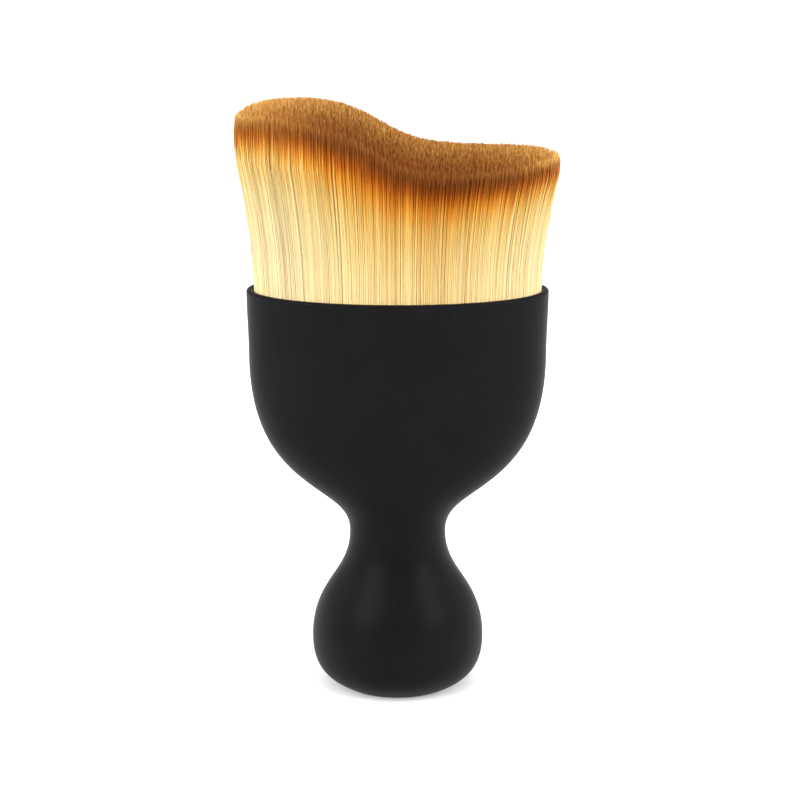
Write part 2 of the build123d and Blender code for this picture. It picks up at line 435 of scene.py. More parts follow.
def ring_grid(points: np.ndarray) -> tuple[np.ndarray, np.ndarray, np.ndarray]:
    """Closes a stack of rings into one skin, with a fan over its first and its last ring.

    Args:
        points: Ring points, shaped rings by columns by 3, each ring anticlockwise from above
            where the stack rises on the outside.

    Returns:
        The points with the two fan centres added, the faces' corners and the faces' sizes.
    """
    rings, columns, _ = points.shape
    index = np.arange(rings * columns).reshape(rings, columns)
    following = np.roll(index, -1, axis=1)
    quads = np.stack([index[:-1], following[:-1], following[1:], index[1:]], axis=-1)
    quads = quads.reshape(-1, 4)
    first, last = rings * columns, rings * columns + 1
    start_fan = np.stack([np.full(columns, first), following[0], index[0]], axis=-1)
    end_fan = np.stack([np.full(columns, last), index[-1], following[-1]], axis=-1)
    centres = np.stack([points[0].mean(0), points[-1].mean(0)])
    corners = np.concatenate([quads.ravel(), start_fan.ravel(), end_fan.ravel()])
    sizes = np.concatenate([np.full(len(quads), 4), np.full(2 * columns, 3)])
    return np.concatenate([points.reshape(-1, 3), centres]), corners, sizes


def oval_points(width: np.ndarray, depth: np.ndarray, fullness: np.ndarray,
                height: np.ndarray, columns: int) -> np.ndarray:
    """Ovals of four rational quadratic arcs, one ring for each height.

    Each quarter runs from one axis to the next past the corner of its box, and the corner's
    weight, fullness times the square root of a half, says how far the arc bulges towards it.

    Args:
        width: Half width of each ring.
        depth: Half depth of each ring.
        fullness: 1 for a true ellipse, more for squarer corners.
        height: Height of each ring.
        columns: Points around, a multiple of four.

    Returns:
        Points shaped rings by columns by 3, anticlockwise from above.
    """
    share = np.arange(columns) / columns * 4
    quarter = share.astype(int)
    t = share - quarter
    weight = (fullness * math.sqrt(0.5))[:, None]
    start, corner, end = (1 - t) ** 2, 2 * weight * t * (1 - t), t ** 2
    total = start + corner + end
    along, across = (start + corner) / total, (corner + end) / total
    turn = quarter * (math.pi / 2)
    cosine, sine = np.round(np.cos(turn)), np.round(np.sin(turn))
    x = width[:, None] * (along * cosine - across * sine)
    y = depth[:, None] * (along * sine + across * cosine)
    return np.stack([x, y, np.broadcast_to(height[:, None], x.shape)], axis=-1)


def map_corners(piece: bpy.types.Object, places: np.ndarray) -> None:
    """Gives a piece the UV map that its dye follows, one place for each corner of its faces."""
    layer = piece.data.uv_layers.new(name="OFBake")
    layer.uv.foreach_set("vector", places.astype(np.float32).ravel())


def dress(piece: bpy.types.Object, slot: str, *nodes: str) -> None:
    """Rides a piece on the brush's one body, hides the CAD nodes it stands for and logs its faces.
    """
    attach(piece, BODY)
    if nodes:
        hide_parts(*nodes)
    log.info("%s: %d faces", piece.name, len(piece.data.polygons))


# ---------------------------------------------------------------- the handle

@dataclass(frozen=True)
class Outline:
    """The handle's half size in one direction at its rings, and how the curve leaves each ring."""

    base: float
    bulb: float
    waist: float
    chest: float
    mouth: float
    waist_pull: float
    chest_pull: float


@dataclass
class GobletHandle:
    """The one-piece moulded handle: foot, waist and flattened cup, cored from both ends.

    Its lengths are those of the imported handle, and its height is read from that node's box.
    """

    front: Outline = Outline(8.7, 13.4, 7.45, 22.8, 23.05, 0.30, 0.79)
    side: Outline = Outline(8.0, 12.3, 6.4, 11.2, 10.8, 0.25, 0.76)
    bulb_height: float = 7.6        # where the foot is widest
    waist_height: float = 25.1
    straight_wall: float = 10.4     # height of the nearly straight wall under the lip
    # pulls: how far each curve keeps its ring's direction, as a share of the stretch's rise
    bulb_pull: float = 0.51
    waist_pull_below: float = 0.42
    base_pull_out: float = 0.53     # of the foot's spread
    base_pull_up: float = 0.17
    bulb_pull_below: float = 0.65
    mouth_fullness: float = 1.03    # squareness of the oval at the lip, 1 being an ellipse
    mouth_wall: float = 1.1
    lip_round: float = 0.4
    core_wall: float = 3.2
    core_floor: float = 35.1        # height of the cored chest's floor
    pocket_depth: float = 13.0      # from the lip to the ledge that the cup stands on
    recess_radius: float = 6.5      # of the base cap's seat
    recess_depth: float = 1.8
    slug_hole_radius: float = 5.3
    slug_hole_top: float = 10.9
    crease_angle: float = 50.0      # degrees, past which an edge is drawn sharp
    columns: int = 224
    outline_steps: int = 200        # in each stretch, where the outline is read between steps
    lip_rings: int = 9              # in each of the lip's two roundings
    stretch_rings: int = 40         # in each stretch of the outline
    core_rings: int = 24
    pocket_rings: int = 12
    height: float = field(init=False)

    def __post_init__(self) -> None:
        """Reads the handle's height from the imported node."""
        self.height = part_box("handle_shell")[1].z / MM

    def curve(self, outline: Outline, share: np.ndarray) -> tuple[np.ndarray, np.ndarray]:
        """One direction's outline as four cubic Bezier stretches, upright at bulb, waist and chest.

        Args:
            outline: The half sizes in that direction.
            share: Places along each stretch, from 0 to 1.

        Returns:
            Heights and half sizes along the outline, from the base to the lip.
        """
        chest = self.height - self.straight_wall
        spread = outline.bulb - outline.base
        foot = ((0, self.base_pull_up * self.bulb_height,
                 (1 - self.bulb_pull_below) * self.bulb_height, self.bulb_height),
                (outline.base, outline.base + self.base_pull_out * spread,
                 outline.bulb, outline.bulb))
        stretches = [foot]
        for low, high, small, large, low_pull, high_pull in (
                (self.bulb_height, self.waist_height, outline.bulb, outline.waist,
                 self.bulb_pull, self.waist_pull_below),
                (self.waist_height, chest, outline.waist, outline.chest,
                 outline.waist_pull, outline.chest_pull),
                (chest, self.height, outline.chest, outline.mouth, 1 / 3, 1 / 3)):
            rise = high - low
            stretches.append(((low, low + low_pull * rise, high - high_pull * rise, high),
                              (small, small, large, large)))
        rest = 1 - share
        blend = np.stack([rest ** 3, 3 * rest ** 2 * share, 3 * rest * share ** 2, share ** 3])
        heights = np.concatenate([np.array(stretch[0]) @ blend for stretch in stretches])
        sizes = np.concatenate([np.array(stretch[1]) @ blend for stretch in stretches])
        return heights, sizes

    def oval(self, height: np.ndarray, inset: np.ndarray | float = 0.0) -> tuple[np.ndarray, ...]:
        """The outer oval's half width, half depth and fullness at heights, drawn in by an inset."""
        share = np.linspace(0, 1, self.outline_steps)
        width = np.interp(height, *self.curve(self.front, share)) - inset
        depth = np.interp(height, *self.curve(self.side, share)) - inset
        above = np.clip((height - self.waist_height) / (self.height - self.waist_height), 0, 1)
        return width, depth, 1 + (self.mouth_fullness - 1) * above

    def profile(self) -> tuple[np.ndarray, ...]:
        """The whole wall as one run of rings: core floor, pocket, lip, outside, base, slug hole.

        Returns:
            Half width, half depth, fullness and height of each ring.
        """
        lip, ledge = self.height, self.height - self.pocket_depth
        turn = np.linspace(0, math.pi / 2, self.lip_rings)
        inner_lip = (lip - self.lip_round * (1 - np.sin(turn)),
                     self.mouth_wall - self.lip_round * (1 - np.cos(turn)))
        outer_lip = (lip - self.lip_round * (1 - np.cos(turn)), self.lip_round * (1 - np.sin(turn)))
        outside, _ = self.curve(self.front, np.linspace(0, 1, self.stretch_rings))
        outside = np.unique(outside[outside < lip - self.lip_round])[::-1]
        core = np.linspace(self.core_floor, ledge, self.core_rings)
        pocket = np.linspace(ledge, lip - self.lip_round, self.pocket_rings)[:-1]
        heights = np.concatenate([core, pocket, inner_lip[0], outer_lip[0], outside])
        insets = np.concatenate([np.full(len(core), self.core_wall),
                                 np.full(len(pocket), self.mouth_wall),
                                 inner_lip[1], outer_lip[1], np.zeros(len(outside))])
        width, depth, fullness = self.oval(heights, insets)
        hole = np.array([self.recess_radius, self.recess_radius, self.slug_hole_radius,
                         self.slug_hole_radius])
        hole_heights = np.array([0.0, self.recess_depth, self.recess_depth, self.slug_hole_top])
        return (np.concatenate([width, hole]), np.concatenate([depth, hole]),
                np.concatenate([fullness, np.ones(len(hole))]),
                np.concatenate([heights, hole_heights]))

    def build(self, paint: bpy.types.Material) -> bpy.types.Object:
        """Builds the handle's closed wall and dresses it.

        Args:
            paint: The soft-touch finish.

        Returns:
            The handle.
        """
        rings = oval_points(*self.profile(), self.columns)[:, ::-1]
        points, corners, sizes = ring_grid(rings * MM)
        piece = mesh_object("goblet_handle", points, corners, sizes, paint)
        piece.data.set_sharp_from_angle(angle=math.radians(self.crease_angle))
        dress(piece, "handle_soft_touch", "handle_shell")
        return piece


# ---------------------------------------------------------------- the head of hair

class HairZone(Enum):
    """Which hairs of the bundle a piece holds."""

    TIPS = "tips"
    SIDES = "sides"


@dataclass(frozen=True)
class ZonePlan:
    """How one zone's hairs are drawn.

    Attributes:
        levels: Shares of the drawn length back from the tip, falling from 1 at the root to 0.
        depth: Drawn length from the tip in mm, or None to draw to the root height.
        pieces: How many pieces the zone is split into, side by side.
        bend: Spread of the tips' chance offset, in mm.
        tint_luck: Spread of the hairs' own tints.
        dye_shift_luck: Spread of the dye's shift towards the tip from hair to hair, in mm.
    """

    levels: tuple[float, ...]
    depth: float | None
    pieces: int
    bend: float
    tint_luck: float
    dye_shift_luck: float


@dataclass(frozen=True)
class DipDye:
    """How the tint and the dye vary from hair to hair, by its place on the cut top in mm."""

    streak_sizes: tuple[float, ...] = (0.35, 0.8, 2.3)
    streak_slant: float = 3.1   # how far back to front shifts the streaks, per mm
    streak_tint: float = 0.07
    middle_tint: float = 0.5
    pale_from: float = 4.0      # place from which the tint grows paler to both ends
    pale_reach: float = 22.0
    pale_tint: float = 0.40
    amber_tint: float = 0.35
    # place, half width and strength of the amber streaks
    amber_streaks: tuple[tuple[float, float, float], ...] = ((11.35, 0.2, 1.0), (7.0, 2.5, 0.25))
    # place, and the dye's depth there as a share of its full depth
    depths: tuple[tuple[float, float], ...] = (
        (-24, 0.85), (-15, 0.98), (-9, 1.36), (-4, 1.46), (3, 1.18), (9, 1.02), (16, 0.93),
        (24, 0.7),
    )
    # place, and how strongly the dye took there
    strengths: tuple[tuple[float, float], ...] = (
        (-24, 0.0), (-17, 0.45), (-9, 1.0), (12, 1.0), (18, 0.8), (24, 0.1),
    )
    depth_luck: float = 0.11    # spread of the depth's logarithm
    strength_luck: float = 0.12
    # painted shade: moving the dye towards the tip darkens the cut top towards its front and back
    # edges
    dye_shift: float = 1.3           # mm the dye moves towards the tip at front and back, none on the ridge

    def tints(self, random: np.random.Generator, x: np.ndarray, y: np.ndarray,
              luck: float) -> np.ndarray:
        """Each hair's tint from 0, amber, to 1, cream: streaks, end paleness and its own luck.

        Args:
            random: The head's random draws.
            x: Hairs' places across the head.
            y: Hairs' places through the head.
            luck: Spread of the hairs' own tints.

        Returns:
            The tints.
        """
        streaks = waves(random, x + self.streak_slant * y, self.streak_sizes)
        pale_ends = np.clip(((x - self.pale_from) / self.pale_reach) ** 2, 0, 1)
        amber = sum(strength * np.exp(-((x - place) / width) ** 2)
                    for place, width, strength in self.amber_streaks)
        own = random.normal(0, 1, len(x)) * luck
        tint = (self.middle_tint + self.streak_tint * streaks + self.pale_tint * pale_ends
                - self.amber_tint * amber + own)
        return np.clip(tint, 0, 0.999)

    def dye(self, random: np.random.Generator, x: np.ndarray, through: np.ndarray,
            luck: float) -> tuple[np.ndarray, np.ndarray, np.ndarray]:
        """How the dye took on each hair.

        Args:
            random: The head's random draws.
            x: Hairs' places across the head.
            through: Hairs' places through the head as a share of its half depth.
            luck: Spread of the dye's shift towards the tip from hair to hair, in mm.

        Returns:
            How deep the dye goes as a share of its full depth, its strength from 0 to 1, and how
            many mm the dye moves towards the tip, least along the ridge: painted shade at front and
            back.
        """
        depth = np.interp(x, *zip(*self.depths))
        depth = depth * np.exp(random.normal(0, self.depth_luck, len(x)))
        strength = np.interp(x, *zip(*self.strengths))
        strength = np.clip(strength + random.normal(0, self.strength_luck, len(x)), 0, 1)
        # painted shade: the dye moves towards the tip at front and back, darkening the cut top's
        # edges; the luck adds tone that differs at random
        dye_shift = self.dye_shift * np.clip(through, -1, 1) ** 2
        dye_shift = dye_shift + luck * np.abs(random.normal(0, 1, len(x)))
        return depth, strength, dye_shift


def waves(random: np.random.Generator, place: np.ndarray, sizes: tuple[float, ...]) -> np.ndarray:
    """Smooth streaks along a line, mostly between -1 and 1.

    For each size, the sine of the place over the size is multiplied by the sine of the place over
    1.7 times the size, each from a random phase, and the products are added up.

    Args:
        random: The head's random draws.
        place: Places along the line.
        sizes: Lengths that set how wide the streaks are.

    Returns:
        The streaks' height at each place.
    """
    total = np.zeros_like(place)
    for size in sizes:
        phase = random.uniform(0, 2 * math.pi, 3)
        total += np.sin(place / size + phase[0]) * np.sin(place / (1.7 * size) + phase[1])
    return total / math.sqrt(len(sizes))


@dataclass
class HairHead:
    """The dense bundle of tapered filaments, wave-cut on top and opening slightly outwards.

    The hairs are drawn thicker and fewer than the real ones, which are about 0.1 mm thick.
    """

    handle: GobletHandle
    colouring: DipDye = DipDye()
    root_height: float = 57.5   # where the drawn hairs start, down in the mouth
    mouth: tuple[float, float] = (21.75, 9.5)   # the bundle's half width and depth at the lip
    tip: tuple[float, float] = (24.35, 12.0)    # and where it has opened fully
    hair_out: float = 21.9      # free length at the wave's dip
    splay_height: float = 19.9  # height above the lip by which the bundle has opened fully
    splay_shift: float = 1.4    # how much higher that is at the hump's end, and lower at the dip's
    splay_power: float = 1.7    # power of the height with which it opens
    mouth_power: float = 2.1    # squareness of its oval at the lip
    tip_power: float = 2.15     # and where it has opened fully
    wave_rise: float = 7.4      # how much higher the hump is than the dip
    wave_middle: float = -2.8   # place of the step between them
    wave_reach: float = 6.5     # half the width of that step
    hump_end_droop: float = 2.5     # how far the top sinks at the hump's very end
    dip_end_droop: float = 0.9      # and at the dip's
    droop_power: int = 7            # how suddenly it does
    dome_drop: float = 2.6      # how much lower the top is at front and back than on its ridge
    pitch: float = 0.20         # spacing of the inner hairs at the top
    scatter: float = 0.28       # how far a hair strays from its place, as a share of the pitch
    thickness: float = 0.18
    taper: float = 4.5          # length of the fine point that each hair ends in
    taper_power: float = 0.55   # how bluntly it thins
    blunting: float = 0.2       # length by which that point is worn back
    oval_steps: int = 4000      # along which the length of the tips' oval is added up
    ring_step: float = 0.11     # spacing of the outer rings of hair
    ring_share: float = 0.85    # spacing of hairs along a ring, as a share of their thickness
    ring_scatter: float = 0.3   # how far a hair strays along its ring, as a share of that
    side_depth: float = 0.8     # hairs in this much of the bundle's skin are drawn to their roots
    length_luck: float = 0.16   # spread of the hairs' ends about the cut
    short_luck: float = 0.25    # spread by which hairs fall short of it
    edge_short: float = 0.5     # how much more they do at the bundle's very edge
    edge_start: float = 0.93    # where on the unit disc's radius that begins
    edge_width: float = 0.07
    tuft_lean: float = 0.07     # how far the tips of a tuft lean together
    bow: float = 0.35           # how far a hair bows, as a share of its bend
    core_sink: float = 6.0      # how far the core's top lies under the cut
    # painted light: the core is tinted paler than the hairs to lighten the shade that it lies in
    core_painted_light_tint: float = 0.7      # the core's tint at the hump's end
    core_tint_range: float = 0.2    # and how much creamier it is at the dip's
    core_columns: int = 120
    core_rings: int = 26
    lid_rings: int = 14
    lid_centre: float = 0.04    # the innermost lid ring's share of the core's width
    plans: dict[HairZone, ZonePlan] = field(default_factory=lambda: {
        HairZone.TIPS: ZonePlan((1, 0.5, 0.2, 0.06, 0), 10.0, 4, 0.20, 0.36, 0.7),
        HairZone.SIDES: ZonePlan((1, 0.8, 0.6, 0.44, 0.3, 0.19, 0.1, 0.04, 0), None, 2,
                                 0.08, 0.05, 0.2),
    })
    random: np.random.Generator = field(init=False)
    dip: float = field(init=False)

    def __post_init__(self) -> None:
        """Starts the seeded random draws and finds the height of the wave's dip."""
        self.random = np.random.default_rng(SEED)
        self.dip = self.handle.height + self.hair_out

    def top(self, x: np.ndarray, y: np.ndarray) -> np.ndarray:
        """Height of the cut top: a hump that steps down to a dip, domed from front to back."""
        step = (1 - np.tanh((x - self.wave_middle) / self.wave_reach)) / 2
        droop = np.where(x < 0, self.hump_end_droop, self.dip_end_droop)
        droop = droop * np.abs(x / self.tip[0]) ** self.droop_power
        dome = self.dome_drop * (y / self.tip[1]) ** 2
        return self.dip + self.wave_rise * step - droop - dome

    def spread(self, p: np.ndarray, q: np.ndarray,
               height: np.ndarray) -> tuple[np.ndarray, np.ndarray]:
        """Where hairs lie at a height, given their places in the unit disc.

        The bundle opens as a power of the height above the lip, and the disc is stretched to a
        superellipse: a point at angle f moves out by one over (|cos f|^n + |sin f|^n) to the 1/n.

        Args:
            p: Hairs' places across the unit disc.
            q: Hairs' places through the unit disc.
            height: Heights along each hair.

        Returns:
            The hairs' x and y there.
        """
        opening = self.splay_height - self.splay_shift * p
        share = np.clip((height - self.handle.height) / opening, 0, 1) ** self.splay_power
        power = self.mouth_power + (self.tip_power - self.mouth_power) * share
        radius = np.maximum(np.hypot(p, q), 1e-6)
        bulge = (np.abs(p / radius) ** power + np.abs(q / radius) ** power) ** (-1 / power)
        sizes = [low + (high - low) * share for low, high in zip(self.mouth, self.tip)]
        return sizes[0] * p * bulge, sizes[1] * q * bulge

    def drawn_in(self, inset: np.ndarray | float) -> tuple[np.ndarray | float, ...]:
        """What an inset in mm from the tips' oval leaves of the unit disc, across and through."""
        return 1 - inset / self.tip[0], 1 - inset / self.tip[1]

    def plant(self) -> tuple[np.ndarray, np.ndarray]:
        """Scatters the inner hairs over the unit disc, on a jittered triangular grid.

        Returns:
            The hairs' two places in the disc.
        """
        columns = int(2 * self.tip[0] / self.pitch) + 2
        rows = int(2 * self.tip[1] / (self.pitch * math.sqrt(0.75))) + 2
        row, column = np.mgrid[0:rows, 0:columns]
        x = (column + 0.5 * (row % 2) - columns / 2) * self.pitch
        y = (row - rows / 2) * self.pitch * math.sqrt(0.75)
        jitter = self.random.normal(0, self.scatter * self.pitch, (2, *x.shape))
        p, q = ((x + jitter[0]) / self.tip[0]).ravel(), ((y + jitter[1]) / self.tip[1]).ravel()
        across, through = self.drawn_in(self.side_depth)
        inside = np.hypot(p / across, q / through) < 1
        return p[inside], q[inside]

    def plant_rings(self) -> tuple[np.ndarray, np.ndarray]:
        """Sets the outer hairs side by side in close rings, evenly along the tips' oval.

        The oval's length is added up along fine steps of its angle, and the angles of the hairs
        are read back from even shares of that length.

        Returns:
            The hairs' two places in the disc.
        """
        fine = np.linspace(0, 2 * math.pi, self.oval_steps)
        steps = np.hypot(np.diff(self.tip[0] * np.cos(fine)), np.diff(self.tip[1] * np.sin(fine)))
        length = np.concatenate([[0], np.cumsum(steps)])
        inset = np.arange(0, self.side_depth, self.ring_step)
        count = int(length[-1] / (self.ring_share * self.thickness))
        share = self.random.uniform(0, 1, (len(inset), 1)) + np.arange(count) / count
        share = share + self.random.normal(0, self.ring_scatter / count, share.shape)
        angle = np.interp(share % 1, length / length[-1], fine)
        inset = inset[:, None] + self.random.uniform(-0.5, 0.5, angle.shape) * self.ring_step
        across, through = self.drawn_in(np.maximum(inset, 0))
        return (across * np.cos(angle)).ravel(), (through * np.sin(angle)).ravel()

    def strands(self, p: np.ndarray, q: np.ndarray, levels: np.ndarray, depth: float | None,
                bend: float) -> tuple[np.ndarray, ...]:
        """Runs hairs from root to tip.

        Each hair ends on the cut top, leans and bows a little by chance, and neighbours in a tuft
        lean together.

        Args:
            p: Hairs' places across the unit disc.
            q: Hairs' places through the unit disc.
            levels: Shares of the drawn length back from the tip, falling from 1 at the root to 0.
            depth: Drawn length from the tip, or None to draw to the root height.
            bend: Spread of the tips' chance offset, in mm.

        Returns:
            Points shaped hairs by levels by 3, radii, and distances back from the tip.
        """
        count = len(p)
        x, y = self.spread(p, q, np.full(count, self.dip))
        edge = np.clip((np.hypot(p, q) - self.edge_start) / self.edge_width, 0, 1)
        short = self.short_luck + self.edge_short * edge
        short = short * np.abs(self.random.normal(0, 1, count))
        tip = self.top(x, y) + self.random.normal(0, self.length_luck, count) - short
        length = tip - self.root_height if depth is None else np.full(count, depth)
        back = length[:, None] * levels[None]
        height = tip[:, None] - back
        x, y = self.spread(p[:, None], q[:, None], height)
        full = (tip - self.root_height)[:, None]
        out = 1 - back / full
        # slanted lines over the disc, along which neighbours fall into tufts
        tuft_x = waves(self.random, p * self.tip[0] * 2.1 + q * 31, (0.5, 1.3))
        tuft_y = waves(self.random, q * self.tip[1] * 2.3 - p * 37, (0.6, 1.1))
        lean = self.random.normal(0, bend, (2, count))
        bow = self.random.normal(0, self.bow * bend, (2, count))
        swing = np.sin(out * math.pi)
        x = x + (lean[0] + self.tuft_lean * tuft_x)[:, None] * out ** 3 + bow[0][:, None] * swing
        y = y + (lean[1] + self.tuft_lean * tuft_y)[:, None] * out ** 3 + bow[1][:, None] * swing
        point = np.minimum(1, (back + self.blunting) / self.taper) ** self.taper_power
        return np.stack([x, y, height], axis=-1), self.thickness / 2 * point, back

    def tubes(self, name: str, points: np.ndarray, radius: np.ndarray, back: np.ndarray,
              tint: np.ndarray, dye: tuple[np.ndarray, ...],
              filament: bpy.types.Material) -> bpy.types.Object:
        """Makes closed three-sided tapered tubes of hairs, with the UV map that carries the dye.

        Args:
            name: The piece's name.
            points: Hairs' centre lines, hairs by levels by 3, from root to tip, in mm.
            radius: Hair radii at the same points.
            back: Distances back from the tip there.
            tint: Each hair's tint, 0 to 1.
            dye: Each hair's dye depth, dye strength and shift of the dye towards its tip.
            filament: The finish.

        Returns:
            The piece.
        """
        hairs, levels, _ = points.shape
        angle = self.random.uniform(0, 2 * math.pi, hairs)[:, None, None]
        angle = angle + np.arange(TUBE_SIDES) * (2 * math.pi / TUBE_SIDES)
        across = np.stack([np.cos(angle), np.sin(angle), np.zeros_like(angle)], axis=-1)
        skin = points[:, :, None] + radius[:, :, None, None] * across
        index = np.arange(hairs * levels * TUBE_SIDES).reshape(hairs, levels, TUBE_SIDES)
        following = np.roll(index, -1, axis=2)
        quads = np.stack([index[:, :-1], following[:, :-1], following[:, 1:], index[:, 1:]], -1)
        caps = np.stack([index[:, 0, ::-1], index[:, -1]], axis=1)
        corners = np.concatenate([quads.reshape(-1), caps.reshape(-1)])
        sizes = np.concatenate([np.full(quads.size // 4, 4), np.full(2 * hairs, TUBE_SIDES)])
        piece = mesh_object(name, skin.reshape(-1, 3) * MM, corners, sizes, filament)

        depth, strength, dye_shift = dye
        strips = DYE_STEPS * TINT_STEPS
        strip = np.round(strength * (DYE_STEPS - 1)) * TINT_STEPS + np.floor(tint * TINT_STEPS)
        column = (strip + STRIP_EDGE) / strips
        step = (1 - 2 * STRIP_EDGE) / strips / TUBE_SIDES
        # the dye's shift towards the tip darkens the tips: painted shade at the front and back of
        # the cut top
        upward = 1 - (back / depth[:, None] + dye_shift[:, None]) / DYE_SPAN
        upward = np.clip(upward, UV_EDGE, 1 - UV_EDGE)
        left = column[:, None, None] + step * np.arange(TUBE_SIDES) + np.zeros((1, levels - 1, 1))
        low = np.broadcast_to(upward[:, :-1, None], left.shape)
        high = np.broadcast_to(upward[:, 1:, None], left.shape)
        quad_uv = np.stack([np.stack([left, left + step, left + step, left], -1),
                            np.stack([low, low, high, high], -1)], -1)
        side = column[:, None] + step * CAP_CORNERS[:, 0]
        cap_uv = [np.stack([side, upward[:, end, None] + CAP_CORNERS[:, 1]], -1) for end in (0, -1)]
        map_corners(piece, np.concatenate([quad_uv.reshape(-1, 2),
                                           np.stack(cap_uv, 1).reshape(-1, 2)]))
        return piece

    def zone_pieces(self, zone: HairZone, p: np.ndarray, q: np.ndarray,
                    filament: bpy.types.Material) -> None:
        """Builds one zone's hairs as pieces of even size, side by side along x.

        Args:
            zone: The zone.
            p: Its hairs' places across the unit disc.
            q: Its hairs' places through the unit disc.
            filament: The finish.
        """
        plan = self.plans[zone]
        points, radius, back = self.strands(p, q, np.array(plan.levels), plan.depth, plan.bend)
        x, y = points[:, -1, 0], points[:, -1, 1]
        tint = self.colouring.tints(self.random, x, y, plan.tint_luck)
        dye = self.colouring.dye(self.random, x, y / self.tip[1], plan.dye_shift_luck)
        for number, part in enumerate(np.array_split(np.argsort(x), plan.pieces), 1):
            piece = self.tubes(f"hair_{zone.value}_{number}", points[part], radius[part],
                               back[part], tint[part], tuple(share[part] for share in dye),
                               filament)
            dress(piece, "filament", "bristle_bundle")

    def core(self, filament: bpy.types.Material) -> bpy.types.Object:
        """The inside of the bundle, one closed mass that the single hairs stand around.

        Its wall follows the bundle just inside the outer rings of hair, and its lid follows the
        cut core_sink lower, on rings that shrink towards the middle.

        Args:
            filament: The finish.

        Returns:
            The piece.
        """
        columns = self.core_columns
        angle = np.arange(columns) / columns * 2 * math.pi
        across, through = self.drawn_in(self.side_depth - self.ring_step)
        p, q = across * np.cos(angle), through * np.sin(angle)
        up = np.linspace(0, 1, self.core_rings)[:, None]
        x, y = self.spread(p, q, np.full(columns, self.dip))
        crown = self.top(x, y) - self.core_sink
        height = self.root_height + (crown - self.root_height) * up
        wall_x, wall_y = self.spread(p[None], q[None], height)
        wall = np.stack([wall_x, wall_y, height], -1)
        shrink = np.linspace(1, self.lid_centre, self.lid_rings)[1:, None]
        lid_x, lid_y = self.spread(p[None] * shrink, q[None] * shrink,
                                   np.full((1, columns), self.dip))
        lid = np.stack([lid_x, lid_y, self.top(lid_x, lid_y) - self.core_sink], -1)
        rings = np.concatenate([wall, lid])
        points, corners, sizes = ring_grid(rings * MM)
        piece = mesh_object("hair_core", points, corners, sizes, filament)
        depth = self.top(*(points[:, axis] / MM for axis in (0, 1))) - points[:, 2] / MM
        around = np.arange(len(points)) % columns / columns
        # painted light: a pale tint lightens the shade that the core lies in among the hairs
        strip = DYE_STEPS - 1 + self.core_painted_light_tint + self.core_tint_range * np.abs(around * 2 - 1)
        upward = np.clip(1 - depth / DYE_SPAN, UV_EDGE, 1 - UV_EDGE)
        map_corners(piece, np.stack([strip / DYE_STEPS, upward], -1)[corners])
        dress(piece, "filament", "bristle_bundle")
        return piece

    def build(self, filament: bpy.types.Material) -> None:
        """Builds the dense bundle, zone by zone, around its core."""
        self.zone_pieces(HairZone.TIPS, *self.plant(), filament)
        self.zone_pieces(HairZone.SIDES, *self.plant_rings(), filament)
        self.core(filament)


@dataclass
class StrayHairs:
    """A few fine hairs that stand out from the head's two ends, most of them at the hump's end."""

    head: HairHead
    count: int = 34
    hump_share: float = 0.75        # how many of them are at the hump's end
    scatter: float = 0.28           # their spread about the end, in radians
    levels: int = 12
    bend: float = 0.2
    reach: float = 0.8              # how far the tips stand out at most
    shortfall: float = 5.0          # how much lower than the cut they end at most
    fineness: float = 0.3           # thickness as a share of the other hairs'
    tint: float = 0.95
    dye: tuple[float, float, float] = (0.5, 0.0, 2.0)   # depth, strength and shift of the dye towards the tip

    def build(self, filament: bpy.types.Material) -> bpy.types.Object:
        """Builds the stray hairs, which swing outwards with the cube of the way up.

        Args:
            filament: The finish.

        Returns:
            The piece.
        """
        random, count = self.head.random, self.count
        at_hump = random.uniform(0, 1, count) < self.hump_share
        angle = np.where(at_hump, math.pi, 0) + random.normal(0, self.scatter, count)
        p, q = np.cos(angle), np.sin(angle)
        levels = np.linspace(1, 0, self.levels)
        points, radius, back = self.head.strands(p, q, levels, None, self.bend)
        reach_out = random.uniform(0, 1, count)[:, None] ** 2 * ((1 - levels) ** 3)[None]
        points[:, :, 0] += self.reach * reach_out * p[:, None]
        points[:, :, 1] += self.reach * reach_out * q[:, None]
        points[:, :, 2] -= random.uniform(0, self.shortfall, count)[:, None] * (1 - levels)[None]
        dye = tuple(np.full(count, value) for value in self.dye)
        piece = self.head.tubes("stray_hairs", points, radius * self.fineness, back,
                                np.full(count, self.tint), dye, filament)
        dress(piece, "filament", "bristle_bundle")
        return piece


# ---------------------------------------------------------------- carried-over inner pieces

@dataclass
class HiddenParts:
    """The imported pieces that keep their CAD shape: cup, resin, ballast slug and base cap."""

    finishes: dict[str, bpy.types.Material]

    def build(self) -> None:
        """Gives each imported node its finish."""
        for node, material in self.finishes.items():
            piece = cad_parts[node]
            piece.data.materials.clear()
            piece.data.materials.append(material)
            log.info("%s: %s", node, material.name)


# ---------------------------------------------------------------- studio

@dataclass(frozen=True)
class Softbox:
    """A square or strip light aimed at the brush.

    Attributes:
        name: The light's name.
        azimuth: Degrees round the brush from the camera's side, anticlockwise from above.
        elevation: Degrees above the table.
        distance: Metres from the aim point.
        size: Width and height in metres.
        power: Watts.
        mirrored: Whether the glossy surfaces mirror it, or it only lights them.
    """

    name: str
    azimuth: float
    elevation: float
    distance: float
    size: tuple[float, float]
    power: float
    mirrored: bool = False

    def build(self, aim: Vector) -> None:
        """Adds the light."""
        data = bpy.data.lights.new(self.name, "AREA")
        data.shape = "RECTANGLE"
        data.size, data.size_y = self.size
        data.energy = self.power
        light = bpy.data.objects.new(self.name, data)
        light.visible_glossy = self.mirrored
        turn, lift = math.radians(self.azimuth), math.radians(self.elevation)
        away = Vector((math.sin(turn) * math.cos(lift), -math.cos(turn) * math.cos(lift),
                       math.sin(lift)))
        light.location = aim + away * self.distance
        light.rotation_euler = away.to_track_quat("Z", "Y").to_euler()
        bpy.context.scene.collection.objects.link(light)


